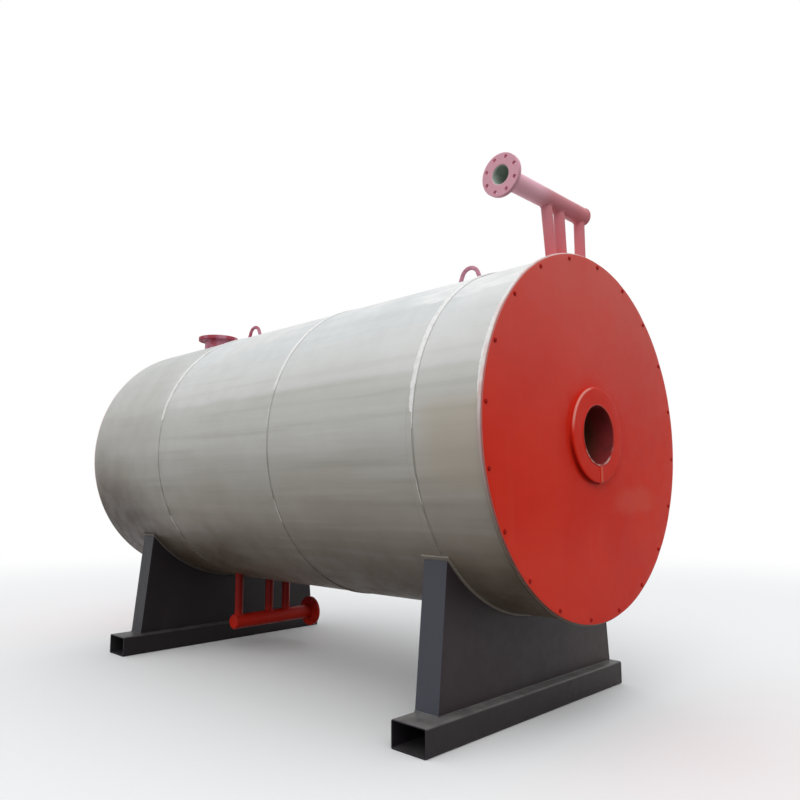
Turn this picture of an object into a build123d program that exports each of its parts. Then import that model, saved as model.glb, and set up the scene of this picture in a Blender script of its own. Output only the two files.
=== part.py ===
from build123d import *
from math import asin, cos, degrees, radians, sin, sqrt, tan
import os

# Horizontal coil boiler that heats oil: a lapped steel casing on two box saddles, with a
# bolted cover at each end, a burner port, a flue stub and an oil header above and below.
# Millimetres. +Z is up, the casing's axis runs along Y and the burner end faces -Y.
# Along the boiler, places are measured from the outer face of the front cover.

# Casing: four courses of plate, each one lapped over the end of the one before it
casing_radius = 1000.0
casing_length = 4168.0
casing_clearance = 537.0
casing_wall = 5.0
seam_place_shares = [0.1072, 0.4007, 0.7291]
lap_length = 34.0
lap_cover = 28.0
lap_slope = 9.0

# End covers, each bolted to an angle ring at the casing's end; the front ring stands proud
cover_wall = 10.0
cover_inset = 8.0
ring_wall = 14.0
ring_rise = 18.0
ring_leg = 78.0
ring_collar = 60.0
ring_collar_wall = 6.0

# Fits: flat faces touch, and round ones keep this much room; a cut overruns what it cuts
seat_gap = 0.3
overrun = 20.0

# Burner port, its sleeve and the lining that it passes through
port_radius = 163.0
port_ring_radius = 265.0
port_ring_wall = 26.0
port_ring_edge = 10.0
sleeve_wall = 8.0
sleeve_lip = 4.0
front_lining_depth = 250.0
rear_lining_depth = 200.0

# Wall of the oil coil, and the flue gas's way between it and the casing
coil_gap = 145.0
coil_tube = 63.5

# Oil headers: a pipe across the boiler, flanged at one end and closed at the other
header_radius = 54.0
header_wall = 4.0
flange_radius = 117.5
flange_wall = 24.0
flange_edge = 2.0
flange_setback = 5.0
flange_bolt_circle_radius = 95.0
flange_bolt_radius = 11.0
flange_bolts = 8
cap_wall = 16.0
cap_edge = 9.0
riser_radius = 31.75
riser_wall = 4.0
top_header_place = 125.0
top_header_rise = 339.0
top_flange_reach = 660.0
top_cap_reach = 186.0
top_riser_feet = [-184.0, -74.0, 131.0]
top_riser_heads = [-230.0, -97.0, 131.0]
bottom_header_lead = 504.0
bottom_header_drop = 299.0
bottom_flange_reach = 378.0
bottom_cap_reach = 392.0
bottom_riser_places = [-340.0, -55.0, 110.0]

# Flue stub on the rear course
flue_setback = 282.0
flue_radius = 122.25
flue_wall = 6.0
flue_flange_radius = 180.0
flue_flange_wall = 30.0
flue_flange_rise = 136.0
flue_bolt_circle_radius = 156.0
flue_bolt_radius = 9.0
flue_bolts = 12

# Lifting eyes: round bar bent over and welded to the crown
front_eye_place = 857.0
rear_eye_setback = 878.0
eye_bar_radius = 14.0
eye_half_spread = 112.0
eye_bend_radius = 70.0
eye_splay = 22.0

# Saddles: a box beam on the ground, two webs, two sloping ends and a curved cradle plate
front_beam_place = 348.0
rear_beam_setback = 513.0
beam_overhang_left = 170.0
beam_overhang_right = 17.0
beam_width = 230.0
beam_height = 140.0
beam_wall = 8.0
beam_corner = 13.0
saddle_depth = 158.0
saddle_plate = 12.0
saddle_top_share = 0.772
saddle_spread = 76.0
cradle_wall = 12.0
cradle_margin = 14.0
cradle_overhang = 12.0
lap_notch = 6.0

# The model's origin is on the ground, midway between its front and rear faces
middle = (casing_length - port_ring_wall - sleeve_lip) / 2
axis_height = casing_clearance + casing_radius
crown = axis_height + casing_radius
casing_bore = casing_radius - casing_wall
seam_places = [casing_length * share for share in seam_place_shares]
beam_places = [front_beam_place, casing_length - rear_beam_setback - beam_width]
pieces = {}


def place(y):
    """Turn a place along the boiler into the model's own Y."""
    return y - middle


def rod(radius, front, rear, height=axis_height):
    """Solid round bar along the boiler, from one place to another."""
    bar = Cylinder(radius, rear - front, align=(Align.CENTER, Align.CENTER, Align.MIN))
    return Pos(0, place(front), height) * Rot(-90, 0, 0) * bar


def crossbar(radius, left, right, y, height):
    """Solid round bar across the boiler, from one X to another."""
    bar = Cylinder(radius, right - left, align=(Align.CENTER, Align.CENTER, Align.MIN))
    return Pos(left, place(y), height) * Rot(0, 90, 0) * bar


def turned(outline):
    """Turn an outline of (place, radius) points about the casing's axis."""
    points = [(place(y), axis_height + radius) for y, radius in outline]
    section = Plane.YZ * make_face(Polyline(*points, close=True))
    return revolve(section, Axis((0, 0, axis_height), (0, 1, 0)))


def tube_between(foot, head, radius):
    """Solid round bar from one point to another."""
    run = Vector(*head) - Vector(*foot)
    bar = Cylinder(radius, run.length, align=(Align.CENTER, Align.CENTER, Align.MIN))
    return Plane(origin=foot, z_dir=run) * bar


# Casing courses
def course(number, front, rear):
    """One course of the casing, with a raised lap at its front edge after the first."""
    inner, outer = casing_bore, casing_radius
    lift = casing_wall + seat_gap
    if number == 1:
        outline = [(front, inner), (front, outer), (rear, outer), (rear, inner)]
    else:
        lapped = front + lap_length
        flat = lapped + lap_slope
        outline = [(front, inner + lift), (front, outer + lift), (lapped, outer + lift),
                   (flat, outer), (rear, outer), (rear, inner), (flat, inner),
                   (lapped, inner + lift)]
    return turned(outline)


course_fronts = [cover_wall + ring_wall] + seam_places
course_rears = [seam + lap_cover for seam in seam_places]
course_rears.append(casing_length - cover_wall - ring_wall)
for number, (front, rear) in enumerate(zip(course_fronts, course_rears), start=1):
    pieces[f"casing_course_{number}"] = course(number, front, rear)


# Angle rings and covers at both ends
def end_ring(face, inward, outer):
    """Angle ring behind a cover: a flat leg that is bolted, and a collar in the casing."""
    back = face + inward * ring_wall
    collar_end = back + inward * ring_collar
    collar_outer = casing_bore - seat_gap
    collar_inner = collar_outer - ring_collar_wall
    return turned([(face, outer - ring_leg), (face, outer), (back, outer),
                   (back, collar_outer), (collar_end, collar_outer),
                   (collar_end, collar_inner), (back, collar_inner),
                   (back, outer - ring_leg)])


rear_face = casing_length
front_ring_radius = casing_radius + ring_rise
sleeve_radius = port_radius + sleeve_wall
sleeve_hole = sleeve_radius + seat_gap
pieces["front_angle_ring"] = end_ring(cover_wall, 1, front_ring_radius)
pieces["rear_angle_ring"] = end_ring(rear_face - cover_wall, -1, casing_radius)
front_cover = rod(front_ring_radius - cover_inset, 0, cover_wall)
pieces["front_cover"] = front_cover - rod(sleeve_hole, -overrun, cover_wall + overrun)
pieces["rear_cover"] = rod(casing_radius - cover_inset, rear_face - cover_wall, rear_face)

# Linings behind the covers, and the coil wall that stands between them
coil_radius = casing_bore - coil_gap
lining_radius = casing_radius - ring_leg - seat_gap
lining_back = cover_wall + front_lining_depth
rear_lining_front = rear_face - cover_wall - rear_lining_depth
front_lining = rod(lining_radius, cover_wall, lining_back)
pieces["front_lining"] = front_lining - rod(sleeve_hole, 0, lining_back + overrun)
pieces["rear_lining"] = rod(lining_radius, rear_lining_front, rear_face - cover_wall)
coil_wall = rod(coil_radius, lining_back, rear_lining_front)
pieces["coil_wall"] = coil_wall - rod(coil_radius - coil_tube, 0, rear_face)

# Burner port: a thick ring on the cover, and a sleeve that runs through both, its lip proud
sleeve_front = -port_ring_wall - sleeve_lip
port_ring = rod(port_ring_radius, -port_ring_wall, 0)
port_ring = fillet(port_ring.edges().group_by(Axis.Y)[0], port_ring_edge)
pieces["burner_ring"] = port_ring - rod(sleeve_hole, sleeve_front - overrun, overrun)
sleeve = rod(sleeve_radius, sleeve_front, lining_back)
pieces["burner_sleeve"] = sleeve - rod(port_radius, sleeve_front - overrun, lining_back + overrun)


# Oil headers
def header(name, y, height, flange_reach, cap_reach, flange_side, risers):
    """Header pipe with its flange, end cap and risers; flange_side is -1 or 1 along X."""
    flange_face = flange_side * flange_reach
    cap_face = -flange_side * cap_reach
    pipe_front = flange_face - flange_side * flange_setback
    pipe_back = cap_face + flange_side * cap_wall
    ends = sorted([pipe_front, pipe_back])
    pipe = crossbar(header_radius, *ends, y, height)
    bore = crossbar(header_radius - header_wall, ends[0] - overrun, ends[1] + overrun, y, height)
    pipe -= bore
    casing = rod(casing_radius + seat_gap, -overrun, rear_face)
    shell = crossbar(header_radius + seat_gap, *ends, y, height)
    for number, (foot, head) in enumerate(risers, start=1):
        out = 1 if height > axis_height else -1
        start = (foot, place(y), axis_height + out * (casing_radius - riser_radius))
        stop = (head, place(y), height)
        riser = tube_between(start, stop, riser_radius)
        hollow = tube_between(start, stop, riser_radius - riser_wall)
        pieces[f"{name}_riser_{number}"] = riser - hollow - casing - shell
        pipe -= hollow
    pieces[f"{name}_pipe"] = pipe

    faces = sorted([flange_face, flange_face - flange_side * flange_wall])
    flange = crossbar(flange_radius, *faces, y, height)
    flange = chamfer(flange.edges().filter_by(GeomType.CIRCLE), flange_edge)
    flange -= crossbar(header_radius + seat_gap, faces[0] - overrun, faces[1] + overrun, y, height)
    hole = crossbar(flange_bolt_radius, faces[0] - overrun, faces[1] + overrun, y, height)
    for turn in range(flange_bolts):
        angle = radians(360 / flange_bolts * (turn + 0.5))
        across = flange_bolt_circle_radius * cos(angle)
        up = flange_bolt_circle_radius * sin(angle)
        flange -= Pos(0, across, up) * hole
    pieces[f"{name}_flange"] = flange

    cap = crossbar(header_radius, *sorted([cap_face, pipe_back]), y, height)
    rim = cap.edges().filter_by(GeomType.CIRCLE).sort_by(Axis.X)
    outer_rim = rim[0] if flange_side > 0 else rim[-1]
    pieces[f"{name}_cap"] = fillet(outer_rim, cap_edge)


header("top_header", top_header_place, crown + top_header_rise, top_flange_reach,
       top_cap_reach, -1, list(zip(top_riser_feet, top_riser_heads)))
bottom_header_place = beam_places[-1] - bottom_header_lead
header("bottom_header", bottom_header_place, axis_height - casing_radius - bottom_header_drop,
       bottom_flange_reach, bottom_cap_reach, 1,
       list(zip(bottom_riser_places, bottom_riser_places)))

# Flue stub: a neck cut to the casing, a hole under it and a drilled flange
flue_place = casing_length - flue_setback
flue_top = crown + flue_flange_rise
neck = Pos(0, place(flue_place), 0) * extrude(
    Plane.XY.offset(axis_height) * (Circle(flue_radius) - Circle(flue_radius - flue_wall)),
    flue_top - flue_flange_wall - axis_height)
pieces["flue_neck"] = neck - rod(casing_radius + seat_gap, 0, rear_face)
neck_bore = Pos(0, place(flue_place), axis_height + coil_radius) * Cylinder(
    flue_radius - flue_wall, flue_top - axis_height,
    align=(Align.CENTER, Align.CENTER, Align.MIN))
pieces["casing_course_4"] -= neck_bore
flue_flange = Plane.XY.offset(flue_top - flue_flange_wall) * (
    Circle(flue_flange_radius) - Circle(flue_radius - flue_wall)
    - PolarLocations(flue_bolt_circle_radius, flue_bolts) * Circle(flue_bolt_radius))
pieces["flue_flange"] = Pos(0, place(flue_place), 0) * extrude(flue_flange, flue_flange_wall)


# Lifting eyes
def lifting_eye(y):
    """Round bar bent over along the boiler, its two feet cut to the casing."""
    foot = crown - eye_bar_radius
    meet = foot + eye_half_spread / tan(radians(eye_splay))
    path = FilletPolyline((place(y) - eye_half_spread, foot), (place(y), meet),
                          (place(y) + eye_half_spread, foot), radius=eye_bend_radius)
    path = Plane.YZ * path
    section = Plane(origin=path @ 0, z_dir=path % 0) * Circle(eye_bar_radius)
    bar = sweep(section, path)
    return bar - rod(casing_radius + seat_gap, 0, rear_face)


for side, y in (("front", front_eye_place), ("rear", casing_length - rear_eye_setback)):
    pieces[f"lifting_eye_{side}"] = lifting_eye(y)


# Saddles
def arc_plate(inner, outer, front, rear, half_angle):
    """Curved plate under the casing, over half_angle degrees each side of its lowest line."""
    section = Plane.YZ * make_face(Polyline(
        (place(front), axis_height - outer), (place(rear), axis_height - outer),
        (place(rear), axis_height - inner), (place(front), axis_height - inner), close=True))
    sweep_of_plate = revolve(section, Axis((0, 0, axis_height), (0, 1, 0)), 2 * half_angle)
    level = Pos(0, 0, axis_height) * Rot(0, -half_angle, 0) * Pos(0, 0, -axis_height)
    return level * sweep_of_plate


def saddle(name, beam_front):
    """One saddle: beam, two webs, two sloping ends and a cradle plate."""
    top_half = casing_radius * saddle_top_share
    foot_half = top_half + saddle_spread
    beam_left, beam_right = foot_half + beam_overhang_left, foot_half + beam_overhang_right
    rear = beam_front + beam_width
    front = rear - saddle_depth
    cradle_inner = casing_radius + seat_gap
    cradle_outer = cradle_inner + cradle_wall
    top = axis_height - sqrt(cradle_outer ** 2 - (top_half - saddle_plate) ** 2) + saddle_plate
    slope = (foot_half - top_half) / (top - beam_height)
    skin = saddle_plate * sqrt(1 + slope ** 2)
    under = rod(cradle_outer + seat_gap, 0, rear_face)

    def plate(corners, start, depth):
        outline = Plane.XZ.offset(-place(start)) * make_face(Polyline(*corners, close=True))
        return extrude(outline, -depth) - under

    inner = [(-(foot_half - skin), beam_height), (foot_half - skin, beam_height),
             (top_half - skin, top), (-(top_half - skin), top)]
    pieces[f"{name}_front_web"] = plate(inner, front, saddle_plate)
    pieces[f"{name}_rear_web"] = plate(inner, rear - saddle_plate, saddle_plate)
    for side, hand in (("left", -1), ("right", 1)):
        corners = [(hand * foot_half, beam_height),
                   (hand * (foot_half - skin), beam_height),
                   (hand * (top_half - skin), top), (hand * top_half, top)]
        pieces[f"{name}_{side}_end"] = plate(corners, front, saddle_depth)

    reach = degrees(asin((top_half + cradle_overhang) / cradle_outer))
    y_from, y_to = front - cradle_margin, rear + cradle_margin
    pieces[f"{name}_cradle"] = arc_plate(cradle_inner, cradle_outer, y_from, y_to, reach)
    for number, seam in enumerate(seam_places, start=2):
        if y_from - lap_length - lap_slope < seam < y_to:
            notch = arc_plate(casing_radius, cradle_outer + overrun, y_from - lap_notch,
                              y_to + lap_notch, reach + degrees(lap_notch / cradle_outer))
            pieces[f"casing_course_{number}"] -= notch

    outline = RectangleRounded(beam_width, beam_height, beam_corner)
    inside = RectangleRounded(beam_width - 2 * beam_wall, beam_height - 2 * beam_wall,
                              beam_corner - beam_wall)
    beam_end = Plane(origin=(-beam_left, place(beam_front) + beam_width / 2, beam_height / 2),
                     x_dir=(0, 1, 0), z_dir=(1, 0, 0))
    pieces[f"{name}_beam"] = extrude(beam_end * (outline - inside), beam_left + beam_right)


for name, beam_front in zip(["front_saddle", "rear_saddle"], beam_places):
    saddle(name, beam_front)

os.makedirs("parts", exist_ok=True)
for name, piece in pieces.items():
    piece.label = name
    export_step(piece, f"parts/{name}.step")
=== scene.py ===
from math import atan2, cos, pi, radians, sin, sqrt

import bmesh
import bpy
import numpy as np
from mathutils import Matrix, Vector


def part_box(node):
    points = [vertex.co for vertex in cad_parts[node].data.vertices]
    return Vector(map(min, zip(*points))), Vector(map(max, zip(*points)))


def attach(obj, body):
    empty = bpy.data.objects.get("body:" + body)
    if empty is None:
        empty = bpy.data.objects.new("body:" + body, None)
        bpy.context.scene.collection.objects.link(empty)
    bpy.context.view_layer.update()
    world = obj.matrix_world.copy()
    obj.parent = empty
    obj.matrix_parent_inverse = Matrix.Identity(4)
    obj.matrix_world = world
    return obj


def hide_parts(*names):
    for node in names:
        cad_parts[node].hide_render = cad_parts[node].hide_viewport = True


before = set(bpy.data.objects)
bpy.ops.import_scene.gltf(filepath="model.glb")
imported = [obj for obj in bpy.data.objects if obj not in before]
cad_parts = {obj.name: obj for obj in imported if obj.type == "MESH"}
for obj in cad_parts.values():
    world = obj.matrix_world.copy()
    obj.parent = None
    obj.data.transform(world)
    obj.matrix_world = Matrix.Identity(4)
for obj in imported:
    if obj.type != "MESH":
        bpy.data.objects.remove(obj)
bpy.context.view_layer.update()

# The photographer stands off the boiler's front left corner, camera at chest height, and
# looks along its left side and a little up. Place and lens come from fitting the photo.
camera_place = Vector((-3.6118, -4.0732, 1.2212))
heading, rise, roll = radians(45.871), radians(7.305), radians(-0.116)
focal_share, drop_share = 722.0 / 800.0, 0.6 / 800.0
ahead = Vector((sin(heading) * cos(rise), cos(heading) * cos(rise), sin(rise)))
level_right = Vector((cos(heading), -sin(heading), 0.0))
right = level_right * cos(roll) + level_right.cross(ahead) * sin(roll)
up = right.cross(ahead)
camera = bpy.data.objects.new("camera", bpy.data.cameras.new("camera"))
camera.data.lens = camera.data.sensor_width * focal_share
camera.data.shift_y = drop_share
camera.matrix_world = Matrix((right, up, -ahead)).transposed().to_4x4()
camera.location = camera_place
bpy.context.scene.collection.objects.link(camera)
bpy.context.scene.camera = camera
bpy.context.scene.view_settings.view_transform = "Standard"


# Light: a bright overcast sky, the same from every side, and one large soft window of
# light above the left front corner. The camera and every gloss see a plain white backdrop.
sky_level, sky_tint, plain_white = 0.90, (0.97, 0.985, 1.0, 1), (1, 1, 1, 1)
window_place, window_target = (-5.5, -5.0, 7.5), (0.0, 0.0, 1.4)
window_size, window_watts = 5.0, 150.0


def feed(tree, node, inputs):
    """Set a node's inputs to values, or join them to other nodes' sockets."""
    for key, value in inputs.items():
        if isinstance(value, bpy.types.NodeSocket):
            tree.links.new(value, node.inputs[key])
        else:
            node.inputs[key].default_value = value


def add(tree, kind, inputs=(), **settings):
    """A new node of that kind, with those settings and inputs."""
    node = tree.nodes.new(kind)
    for key, value in settings.items():
        setattr(node, key, value)
    feed(tree, node, dict(inputs))
    return node


def seen_by_eye_or_gloss(tree):
    """1 for what the camera, a reflection or a clear surface looks at, and 0 for soft light."""
    path = add(tree, "ShaderNodeLightPath")
    either = add(tree, "ShaderNodeMath", {0: path.outputs["Is Camera Ray"],
                                          1: path.outputs["Is Glossy Ray"]}, operation="MAXIMUM")
    return add(tree, "ShaderNodeMath", {0: either.outputs[0],
                                        1: path.outputs["Is Transmission Ray"]},
               operation="MAXIMUM").outputs[0]


world = bpy.data.worlds.new("overcast")
world.use_nodes = True
bpy.context.scene.world = world
tree = world.node_tree
tree.nodes.clear()
soft = add(tree, "ShaderNodeBackground", {"Color": sky_tint, "Strength": sky_level})
plain = add(tree, "ShaderNodeBackground", {"Color": plain_white, "Strength": 1.0})
both = add(tree, "ShaderNodeMixShader", {0: seen_by_eye_or_gloss(tree), 1: soft.outputs[0],
                                         2: plain.outputs[0]})
add(tree, "ShaderNodeOutputWorld", {"Surface": both.outputs[0]})

window = bpy.data.objects.new("window", bpy.data.lights.new("window", "AREA"))
window.data.size, window.data.energy = window_size, window_watts
window.location = window_place
aim = Vector(window_target) - Vector(window_place)
window.rotation_euler = aim.to_track_quat("-Z", "Y").to_euler()
bpy.context.scene.collection.objects.link(window)

# Ground: pale to the eye and fading to the white backdrop, with the boiler's shadow on it.
# For the light that it throws back up it is the dull earth of the yard in the photo.
ground_radius, ground_points = 60.0, 96
fade_from, fade_to = 5.0, 11.0
pale_ground, dull_ground = (0.97, 0.97, 0.97, 1), (0.13, 0.105, 0.085, 1)
around = np.linspace(0, 2 * pi, ground_points, endpoint=False)
rim = np.stack([ground_radius * np.cos(around), ground_radius * np.sin(around),
                np.zeros(ground_points)], -1)
mesh = bpy.data.meshes.new("ground")
mesh.from_pydata(rim.tolist(), [], [list(range(ground_points))])
ground = bpy.data.objects.new("ground", mesh)
bpy.context.scene.collection.objects.link(ground)
paving = bpy.data.materials.new("pale_ground")
paving.use_nodes = True
tree = paving.node_tree
tree.nodes.clear()
eye = seen_by_eye_or_gloss(tree)
tone = add(tree, "ShaderNodeMix", {0: eye, 6: dull_ground, 7: pale_ground}, data_type="RGBA")
matt = add(tree, "ShaderNodeBsdfDiffuse", {"Color": tone.outputs[2]})
white = add(tree, "ShaderNodeEmission", {"Color": plain_white, "Strength": 1.0})
place = add(tree, "ShaderNodeTexCoord")
far = add(tree, "ShaderNodeVectorMath", {0: place.outputs["Object"]}, operation="LENGTH")
fade = add(tree, "ShaderNodeMapRange", {0: far.outputs["Value"], 1: fade_from, 2: fade_to},
           interpolation_type="SMOOTHSTEP")
share = add(tree, "ShaderNodeMath", {0: fade.outputs[0], 1: eye}, operation="MULTIPLY")
both = add(tree, "ShaderNodeMixShader", {0: share.outputs[0], 1: matt.outputs[0],
                                         2: white.outputs[0]})
add(tree, "ShaderNodeOutputMaterial", {"Surface": both.outputs[0]})
mesh.materials.append(paving)


# Casing: four courses of 5 mm plate, rolled, each lapped over the end of the one in front.
# Satin off-white paint over plate that still shows the rolls' flats and some site dents.
plate_wall, lap_room, lap_length, lap_slope = 0.005, 0.0003, 0.034, 0.009
casing_turns, plate_step = 360, 0.022
edge_round, edge_inset, stiff_reach, waver_reach = 0.0009, 0.0015, 0.10, 0.06
roll_flats = {19: 0.00022, 31: 0.00026, 47: 0.00016, 68: 0.00012}
slow_waves = {2: 0.0007, 3: 0.0006, 5: 0.0005, 7: 0.0003}
pale_and_lit, off_white = (0.80, 0.805, 0.80, 1), (0.60, 0.605, 0.575, 1)
grime_and_shade, painted_sky_blue = (0.50, 0.465, 0.405, 1), (0.66, 0.70, 0.71, 1)
grey_and_shade, dust_and_shade = (0.40, 0.385, 0.345, 1), (0.115, 0.076, 0.049, 1)
side_dark, rear_shade_dark = (0.24, 0.215, 0.18, 1), (0.045, 0.030, 0.020, 1)
white_and_sheen, olive_brown = (0.90, 0.90, 0.89, 1), (0.46, 0.39, 0.30, 1)


def measured(node):
    """The middle and the half size of a node's box, each along X, Y and Z."""
    low, high = (np.array(corner, float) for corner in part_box(node))
    return (low + high) / 2, (high - low) / 2


casing_middle, casing_half = measured("casing_course_1")
casing_radius, axis_z = casing_half[0], casing_middle[2]
axis_centre = (0.0, 0.0, axis_z)


def points_at(x, y, z):
    """Points of those coordinates, each of them a number or an array."""
    return np.stack(np.broadcast_arrays(x, y, z), -1)


def on_casing(turn, radius, y):
    """Points (radius sin turn, y, radius cos turn) about the casing's axis. A turn is the angle
    from the crown towards +X."""
    return points_at(radius * np.sin(turn), y, axis_z + radius * np.cos(turn))


def grid(rows, closed_rows=False, closed_points=True, chart=None):
    """Quads on a grid of points, rows[i, j]: each spans (i, j), (i, j+1), (i+1, j+1), (i+1, j).
    chart holds the (u, v) of those points, one more each way where the grid closes."""
    count, width = rows.shape[:2]
    i, j = np.meshgrid(np.arange(count if closed_rows else count - 1),
                       np.arange(width if closed_points else width - 1), indexing="ij")
    below, beside = (i + 1) % count, (j + 1) % width
    quads = np.stack([i * width + j, i * width + beside, below * width + beside,
                      below * width + j], -1).reshape(-1, 4)
    if chart is None:
        return rows.reshape(-1, 3), quads, np.zeros((len(quads) * 4, 2))
    corners = np.stack([chart[i, j], chart[i, j + 1], chart[i + 1, j + 1], chart[i + 1, j]], -2)
    return rows.reshape(-1, 3), quads, corners.reshape(-1, 2)


def mesh_of(name, *grids, sharp=35.0):
    """One mesh of several grids. Points that fall together, as at a pole, become one, faces
    turn outwards, and edges sharper than that many degrees stay crisp."""
    starts = np.cumsum([0] + [len(points) for points, _, _ in grids[:-1]])
    points = np.concatenate([points for points, _, _ in grids])
    quads = np.concatenate([quads + start for (_, quads, _), start in zip(grids, starts)])
    mesh = bpy.data.meshes.new(name)
    mesh.from_pydata(points.tolist(), [], quads.tolist())
    sheet = mesh.uv_layers.new(name="plate")
    sheet.data.foreach_set("uv", np.concatenate([g[2] for g in grids]).ravel())
    shape = bmesh.new()
    shape.from_mesh(mesh)
    bmesh.ops.remove_doubles(shape, verts=shape.verts, dist=1e-6)
    bmesh.ops.recalc_face_normals(shape, faces=shape.faces)
    shape.to_mesh(mesh)
    shape.free()
    mesh.shade_smooth()
    mesh.set_sharp_from_angle(angle=radians(sharp))
    return mesh


def piece(mesh, finish, slot, *nodes):
    """A finished piece of that mesh, which rides on the boiler and stands for those nodes."""
    made = bpy.data.objects.new(mesh.name, mesh)
    bpy.context.scene.collection.objects.link(made)
    mesh.materials.append(finish)
    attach(made, "root")
    if nodes:
        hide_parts(*nodes)
    return made


def waves(turn, along, heights, seed, lengths=(0.9, 2.6)):
    """Sum over n of height_n * sin(n * turn + phase_n) * cos(2 pi along / length_n + phase_n')."""
    draw = np.random.default_rng(seed)
    total = np.zeros(np.broadcast(turn, along).shape)
    for times, height in heights.items():
        length = draw.uniform(*lengths)
        first, second = draw.uniform(0, 2 * pi, 2)
        total += height * np.sin(times * turn + first) * np.cos(2 * pi * along / length + second)
    return total


def dent(turn, along, centre, spread, depth):
    """Bell-shaped hollow: -depth * exp(-(angle off / spread)^2 - (place off / spread)^2)."""
    return -depth * np.exp(-((turn - centre[0]) / spread[0]) ** 2
                           - ((along - centre[1]) / spread[1]) ** 2)


# The dents, each as its centre (turn, y), its spread and its depth, lie beside the first lap
# near the crown, where a sling has pressed the plate, and two of them further back.
sling_dents = [((-0.42, -1.71), (0.030, 0.085), 0.0035), ((-0.50, -1.83), (0.045, 0.030), -0.0025),
               ((-0.36, -1.52), (0.022, 0.110), 0.0040), ((-0.47, -1.47), (0.030, 0.050), -0.0022),
               ((-0.58, -1.36), (0.028, 0.090), 0.0026), ((-0.31, -1.88), (0.050, 0.050), 0.0020),
               ((0.62, 0.30), (0.060, 0.120), 0.0025), ((1.10, 1.55), (0.050, 0.070), 0.0020)]


def lap_lift(distance):
    """Lift of a course over the one before it: full for the lap, then down a short slope."""
    return (plate_wall + lap_room) * np.clip(1 - (distance - lap_length) / lap_slope, 0, 1)


def course_sheet(name, front, rear, lapped, seed):
    """Closed sheet (r(turn, y) sin turn, y, r cos turn) about the casing's axis, its radius the
    casing's plus the lap's lift, the rolls' flats, slow waves and dents, its wall inwards."""
    turn = np.linspace(-pi, pi, casing_turns, endpoint=False)
    lap = [front + lap_length + lap_slope * t for t in (0, 0.5, 1)] if lapped else []
    inner_places = np.linspace(front, rear, max(2, round((rear - front) / plate_step)))
    outer = np.unique(np.concatenate([inner_places, [front + edge_inset, rear - edge_inset], lap]))
    inner = np.concatenate([[rear], lap[::-1], [front]])
    along = np.concatenate([outer, inner])[:, None]
    angle = np.broadcast_to(turn[None, :], (len(along), casing_turns))
    stiff = np.clip(np.minimum(along - front, rear - along) / stiff_reach, 0.15, 1)
    form = waves(angle, along, roll_flats, seed, (1.8, 6.0))
    form = form + stiff * waves(angle, along, slow_waves, seed + 1)
    for centre, spread, depth in sling_dents:
        form = form + dent(angle, along, centre, spread, depth)
    radius = casing_radius + form
    waver = 0
    if lapped:
        radius = radius + lap_lift(along - front)
        waver = 0.0012 * np.sin(5 * angle + seed) + 0.0008 * np.sin(17 * angle + 2 * seed)
    radius[len(outer):] -= plate_wall
    radius[[0, len(outer) - 1]] -= edge_round
    place = along + waver * np.clip(1 - (along - front) / waver_reach, 0, 1)
    across = casing_radius * np.linspace(-pi, pi, casing_turns + 1)
    down = np.concatenate([along[:, 0], along[:1, 0]])
    chart = np.stack(np.broadcast_arrays(across[None, :], down[:, None]), -1)
    rows = on_casing(angle, radius, place)
    return mesh_of(name, grid(rows, closed_rows=True, chart=chart), sharp=30.0)


def new_group(name, inputs, outputs):
    """A shader node group with those sockets, and its input and output nodes."""
    group = bpy.data.node_groups.new(name, "ShaderNodeTree")
    for socket, kind in inputs.items():
        group.interface.new_socket(socket, in_out="INPUT", socket_type=kind)
    for socket, kind in outputs.items():
        group.interface.new_socket(socket, in_out="OUTPUT", socket_type=kind)
    return group, add(group, "NodeGroupInput"), add(group, "NodeGroupOutput")


def noise(tree, place, scale, detail=4.0, rough=0.55):
    """A noise's value at that place."""
    return add(tree, "ShaderNodeTexNoise", {"Vector": place, "Scale": scale, "Detail": detail,
                                            "Roughness": rough}).outputs["Fac"]


def ramp(tree, value, low, high, to_low=0.0, to_high=1.0):
    """A value taken smoothly from one range to another, and held at its ends."""
    return add(tree, "ShaderNodeMapRange", {0: value, 1: low, 2: high, 3: to_low, 4: to_high},
               interpolation_type="SMOOTHSTEP").outputs[0]


def mix(tree, share, first, second):
    """One colour laid over another by a share."""
    return add(tree, "ShaderNodeMix", {0: share, 6: first, 7: second}, data_type="RGBA").outputs[2]


def times(tree, first, second, operation="MULTIPLY"):
    """Two values multiplied, or put together by another operation."""
    return add(tree, "ShaderNodeMath", {0: first, 1: second}, operation=operation).outputs[0]


def laid(tree, colour, tone, *shares):
    """A tone laid over a colour by the product of some shares."""
    share = shares[0]
    for other in shares[1:]:
        share = times(tree, share, other)
    return mix(tree, share, colour, tone)


def between(tree, value, rise, fall):
    """1 between two smooth steps: up along the range rise, and down again along fall."""
    return times(tree, ramp(tree, value, *rise), ramp(tree, value, *fall))


def coordinate(tree, place, axis):
    """One coordinate of a place."""
    return add(tree, "ShaderNodeSeparateXYZ", {0: place}).outputs[axis]


def stretched(tree, place, scale):
    """A place scaled along each axis, which draws out a pattern that is read there."""
    return add(tree, "ShaderNodeVectorMath", {0: place, 1: scale}, operation="MULTIPLY").outputs[0]


VALUE, VECTOR = "NodeSocketFloat", "NodeSocketVector"

# Patches: the cloudy unevenness of sprayed paint, large clouds and a fine mottle over them
patches, given, gives = new_group("spray_patches", {"Place": VECTOR, "Size": VALUE},
                                  {"Clouds": VALUE, "Mottle": VALUE})
large = noise(patches, given.outputs["Place"], given.outputs["Size"], 3.0)
fine_size = times(patches, given.outputs["Size"], 7.0)
fine = noise(patches, given.outputs["Place"], fine_size, 6.0, 0.62)
feed(patches, gives, {"Clouds": ramp(patches, large, 0.38, 0.62),
                      "Mottle": ramp(patches, fine, 0.35, 0.68)})

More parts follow.
